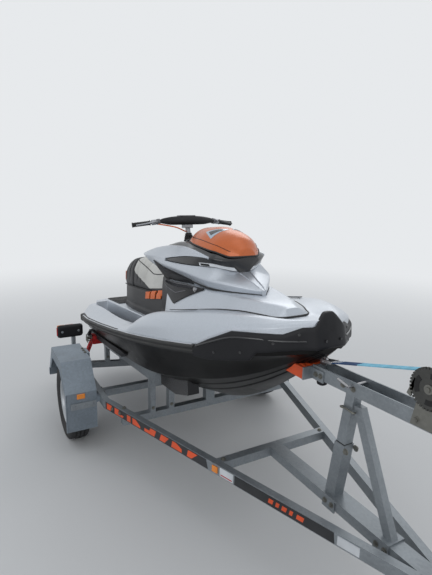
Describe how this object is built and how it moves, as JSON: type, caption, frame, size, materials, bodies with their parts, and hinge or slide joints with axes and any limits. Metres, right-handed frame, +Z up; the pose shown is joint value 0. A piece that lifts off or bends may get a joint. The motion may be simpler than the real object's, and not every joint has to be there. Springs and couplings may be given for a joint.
{
  "type": "personal watercraft on its trailer",
  "caption": "Jet-driven personal watercraft with a domed storage cover and stepped seat, resting on a road trailer with a winch post, bunks and a jockey wheel.",
  "frame": {"origin": "on the floor, under the middle of the whole object's box", "axes": "+X towards the bow and the tow coupling, +Y to port, +Z up"},
  "size_m": [4.1078, 1.889, 1.6544],
  "materials": {
    "hull_shell": "dark glossy hull bottom, slightly scuffed",
    "deck_silver": "pale silver metallic gel coat",
    "cowl_silver": "pale silver metallic gel coat",
    "black_trim": "black moulded plastic",
    "cover_orange": "orange gel coat with a plain grey shape",
    "seat_vinyl": "pale grey marine vinyl with seams",
    "rubber_black": "black rubber",
    "mat_grey": "ribbed grey footwell mat",
    "engine_block": "plain block",
    "pump_metal": "cast aluminium",
    "galvanised": "hot-dip galvanised steel with dull spangle",
    "stainless": "polished stainless steel",
    "bunk_carpet": "black carpet over boards",
    "tyre": "road tyre",
    "rim": "silver painted steel rim",
    "guard": "pressed galvanised steel mudguard",
    "lamp_red": "red and amber lamp lens",
    "strap_web": "blue woven webbing",
    "tiedown_red": "red woven webbing with a steel ratchet",
    "stop_rubber": "orange-red moulded rubber",
    "winch_zinc": "zinc plated steel"
  },
  "bodies": {
    "craft_and_trailer": {"hull": "hull_shell", "deck": "deck_silver", "engine": "engine_block", "gunwales": "rubber_black", "bumper": "rubber_black", "console": "black_trim", "cowl": "cowl_silver", "surround": "black_trim", "seat_base": "black_trim", "seat": "seat_vinyl", "footwell_mats": "mat_grey", "sponsons": "black_trim", "jet_pump": "pump_metal", "bow_eye": "stainless", "stern_eyes": "stainless", "rail_port": "galvanised", "rail_starboard": "galvanised", "front_beam": "galvanised", "drawbar": "galvanised", "bunks": "bunk_carpet", "bunk_bars": "galvanised", "mid_beam": "galvanised", "rear_beam": "galvanised", "axle": "galvanised", "mudguard_port": "guard", "mudguard_starboard": "guard", "tail_lamp_port": "lamp_red", "tail_lamp_starboard": "lamp_red", "tiedowns": "tiedown_red", "winch_arm": "galvanised", "winch_post": "galvanised", "bow_stop": "stop_rubber", "winch_frame": "winch_zinc", "winch_strap": "strap_web", "coupling": "winch_zinc", "jockey_mount": "winch_zinc"},
    "wheel_port": {"tyre_port": "tyre", "rim_port": "rim"},
    "wheel_starboard": {"tyre_starboard": "tyre", "rim_starboard": "rim"},
    "jockey_leg": {"jockey_leg": "winch_zinc"},
    "jockey_fork": {"jockey_fork": "winch_zinc"},
    "jockey_wheel": {"jockey_wheel": "rubber_black"},
    "winch_drum": {"winch_drum": "winch_zinc"},
    "winch_crank": {"winch_crank": "winch_zinc"},
    "handlebar": {"handlebar": "black_trim", "grips": "rubber_black"},
    "nozzle": {"nozzle": "pump_metal"},
    "reverse_bucket": {"reverse_bucket": "pump_metal"},
    "storage_lid": {"storage_lid": "cover_orange"}
  },
  "joints": [
    {"name": "wheel_port_roll", "type": "hinge", "parent": "craft_and_trailer", "child": "wheel_port", "pos_m": [-0.831, 0.84, 0.281], "axis": [0, 1, 0], "continuous": true},
    {"name": "wheel_starboard_roll", "type": "hinge", "parent": "craft_and_trailer", "child": "wheel_starboard", "pos_m": [-0.831, -0.84, 0.281], "axis": [0, 1, 0], "continuous": true},
    {"name": "jockey_raise", "type": "slide", "parent": "craft_and_trailer", "child": "jockey_leg", "axis": [0, 0, 1], "range_m": [0, 0.1]},
    {"name": "jockey_swivel", "type": "hinge", "parent": "jockey_leg", "child": "jockey_fork", "pos_m": [1.638, 0.118, 0.236], "axis": [0, 0, 1], "continuous": true},
    {"name": "jockey_roll", "type": "hinge", "parent": "jockey_fork", "child": "jockey_wheel", "pos_m": [1.602, 0.118, 0.1], "axis": [0, 1, 0], "continuous": true},
    {"name": "winch_drum_turn", "type": "hinge", "parent": "craft_and_trailer", "child": "winch_drum", "pos_m": [1.493, 0, 1.167], "axis": [0, 1, 0], "continuous": true},
    {"name": "winch_crank_turn", "type": "hinge", "parent": "craft_and_trailer", "child": "winch_crank", "pos_m": [1.546, 0, 1.253], "axis": [0, 1, 0], "continuous": true},
    {"name": "steering", "type": "hinge", "parent": "craft_and_trailer", "child": "handlebar", "pos_m": [-0.58629, 0, 1.4551], "axis": [-0.2997, 0, 0.954], "range_deg": [-20, 20]},
    {"name": "nozzle_turn", "type": "hinge", "parent": "craft_and_trailer", "child": "nozzle", "pos_m": [-1.95429, 0, 0.39865], "axis": [-0.0948, 0, 0.9955], "range_deg": [-20, 20]},
    {"name": "bucket_lower", "type": "hinge", "parent": "craft_and_trailer", "child": "reverse_bucket", "pos_m": [-1.93438, 0, 0.40055], "axis": [0, -1, 0], "range_deg": [0, 42]},
    {"name": "lid_open", "type": "hinge", "parent": "craft_and_trailer", "child": "storage_lid", "pos_m": [-0.37467, 0, 1.51142], "axis": [0, -1, 0], "range_deg": [0, 50]}
  ],
  "couplings": [
    {"joint": "winch_crank_turn", "follows": "winch_drum_turn", "ratio": -4.6},
    {"joint": "nozzle_turn", "follows": "steering", "ratio": -1}
  ]
}
